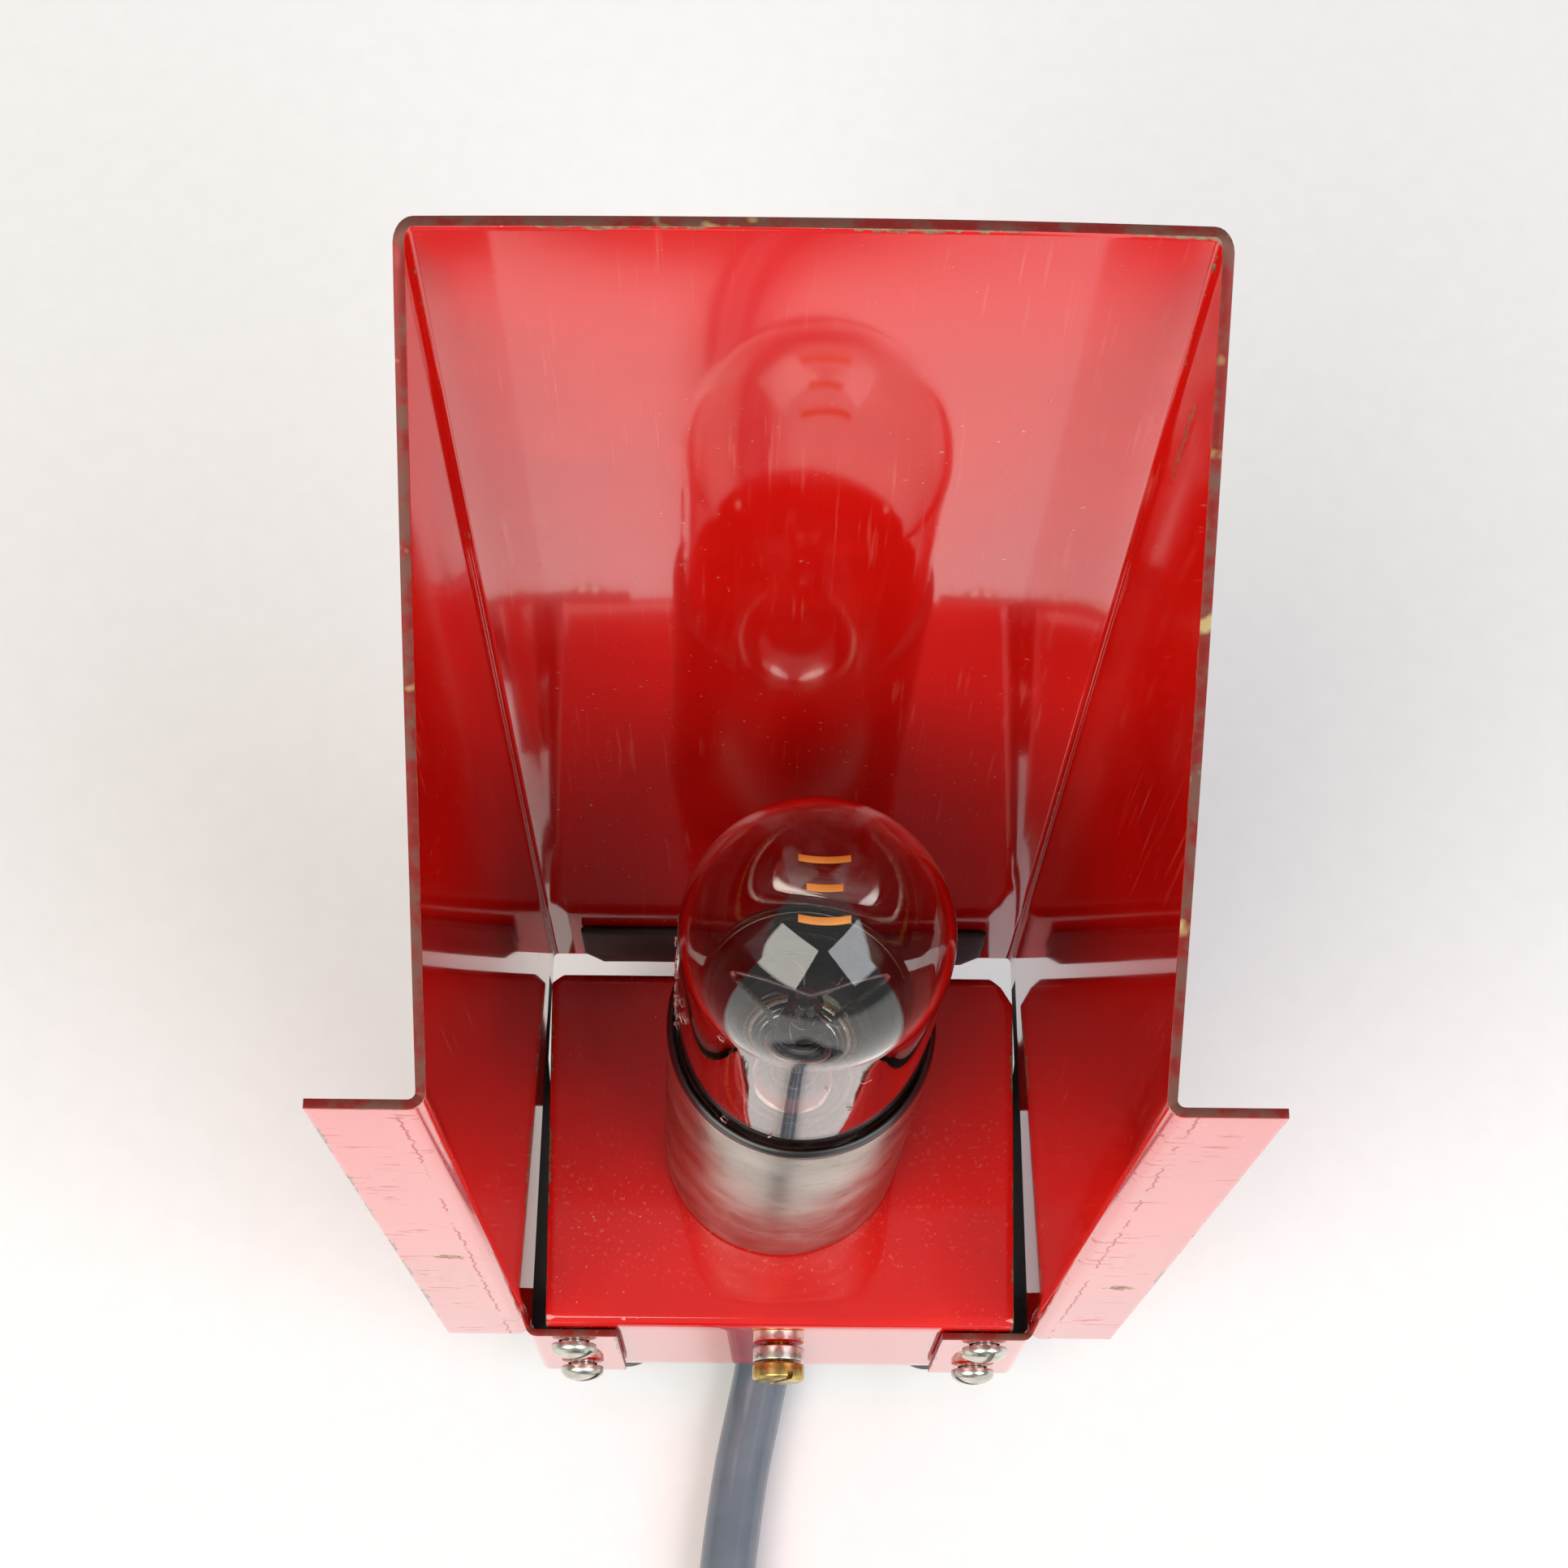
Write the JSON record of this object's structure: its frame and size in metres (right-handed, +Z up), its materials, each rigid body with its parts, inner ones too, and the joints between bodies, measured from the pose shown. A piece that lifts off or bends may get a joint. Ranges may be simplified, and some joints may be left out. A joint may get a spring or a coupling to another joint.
{
  "type": "darkroom safelight",
  "caption": "Small darkroom safelight: open folded-steel hood with outward filter flanges, chassis tray, screw-base tubular lamp in a metal sleeve, and a mains cord.",
  "frame": {"origin": "centre of the lamp's footprint (hood, tray and fixings, without the cord) on the surface it stands on", "axes": "+Z up along the hood, +Y towards the back panel, +X to the right when looking into the open front"},
  "size_m": [0.1078, 0.2355, 0.2014],
  "materials": {
    "red_enamel": "high-gloss red enamel on folded sheet steel",
    "black_rubber": "matt black rubber",
    "satin_steel": "satin, worn",
    "black_phenolic": "moulded phenolic, semi-gloss",
    "porcelain": "glazed white porcelain",
    "brass": "bright turned brass",
    "zinc_steel": "bright zinc plate",
    "nickel_cap": "rolled thread",
    "clear_glass": "clear soda-lime glass",
    "tungsten": "drawn wire",
    "grey_pvc": "extruded grey PVC",
    "grey_plug": "moulded grey PVC",
    "brown_core": "insulated core",
    "blue_core": "insulated core",
    "nickel_pin": "nickel-plated brass pins"
  },
  "bodies": {
    "head": {"hood": "red_enamel", "tray": "red_enamel", "seal_strip": "black_rubber", "holder_sleeve": "satin_steel", "holder_ring": "black_phenolic", "holder_insulator": "porcelain", "shell_insulator": "porcelain", "threaded_shell": "brass", "nipple": "zinc_steel", "lock_nut": "zinc_steel", "strain_relief": "grey_pvc", "cord_clamp": "zinc_steel", "core_live": "brown_core", "core_neutral": "blue_core", "cord": "grey_pvc", "cord_coil": "grey_pvc", "coil_tie": "black_rubber", "cord_tail": "grey_pvc", "plug_relief": "grey_plug", "plug_body": "grey_plug", "plug_pin_left": "nickel_pin", "plug_pin_right": "nickel_pin", "middle_collar": "zinc_steel", "middle_screw": "brass", "middle_nut": "zinc_steel", "foot_1": "black_rubber", "foot_2": "black_rubber", "foot_3": "black_rubber", "foot_4": "black_rubber", "tab_screw_left_lower": "zinc_steel", "tab_nut_left_lower": "zinc_steel", "tab_screw_left_upper": "zinc_steel", "tab_nut_left_upper": "zinc_steel", "tab_screw_right_lower": "zinc_steel", "tab_nut_right_lower": "zinc_steel", "tab_screw_right_upper": "zinc_steel", "tab_nut_right_upper": "zinc_steel"},
    "contact": {"centre_contact": "brass"},
    "lamp": {"lamp_end_contact": "zinc_steel", "lamp_vitrite": "black_phenolic", "lamp_cap": "nickel_cap", "lamp_glass": "clear_glass", "lamp_stem": "clear_glass", "lamp_lead_left": "tungsten", "lamp_lead_right": "tungsten", "lamp_filament": "tungsten", "lamp_support": "tungsten"}
  },
  "joints": [
    {"name": "contact_rise", "type": "slide", "parent": "head", "child": "contact", "axis": [0.027, 0, 0.9996], "range_m": [0, 0.002]},
    {"name": "lamp_turn", "type": "hinge", "parent": "contact", "child": "lamp", "pos_m": [0, 0.00055, 0.04], "axis": [0.027, 0, 0.9996], "range_deg": [0, 255.2]}
  ],
  "couplings": [
    {"joint": "lamp_turn", "follows": "contact_rise", "rad_per_m": 2226.5}
  ]
}
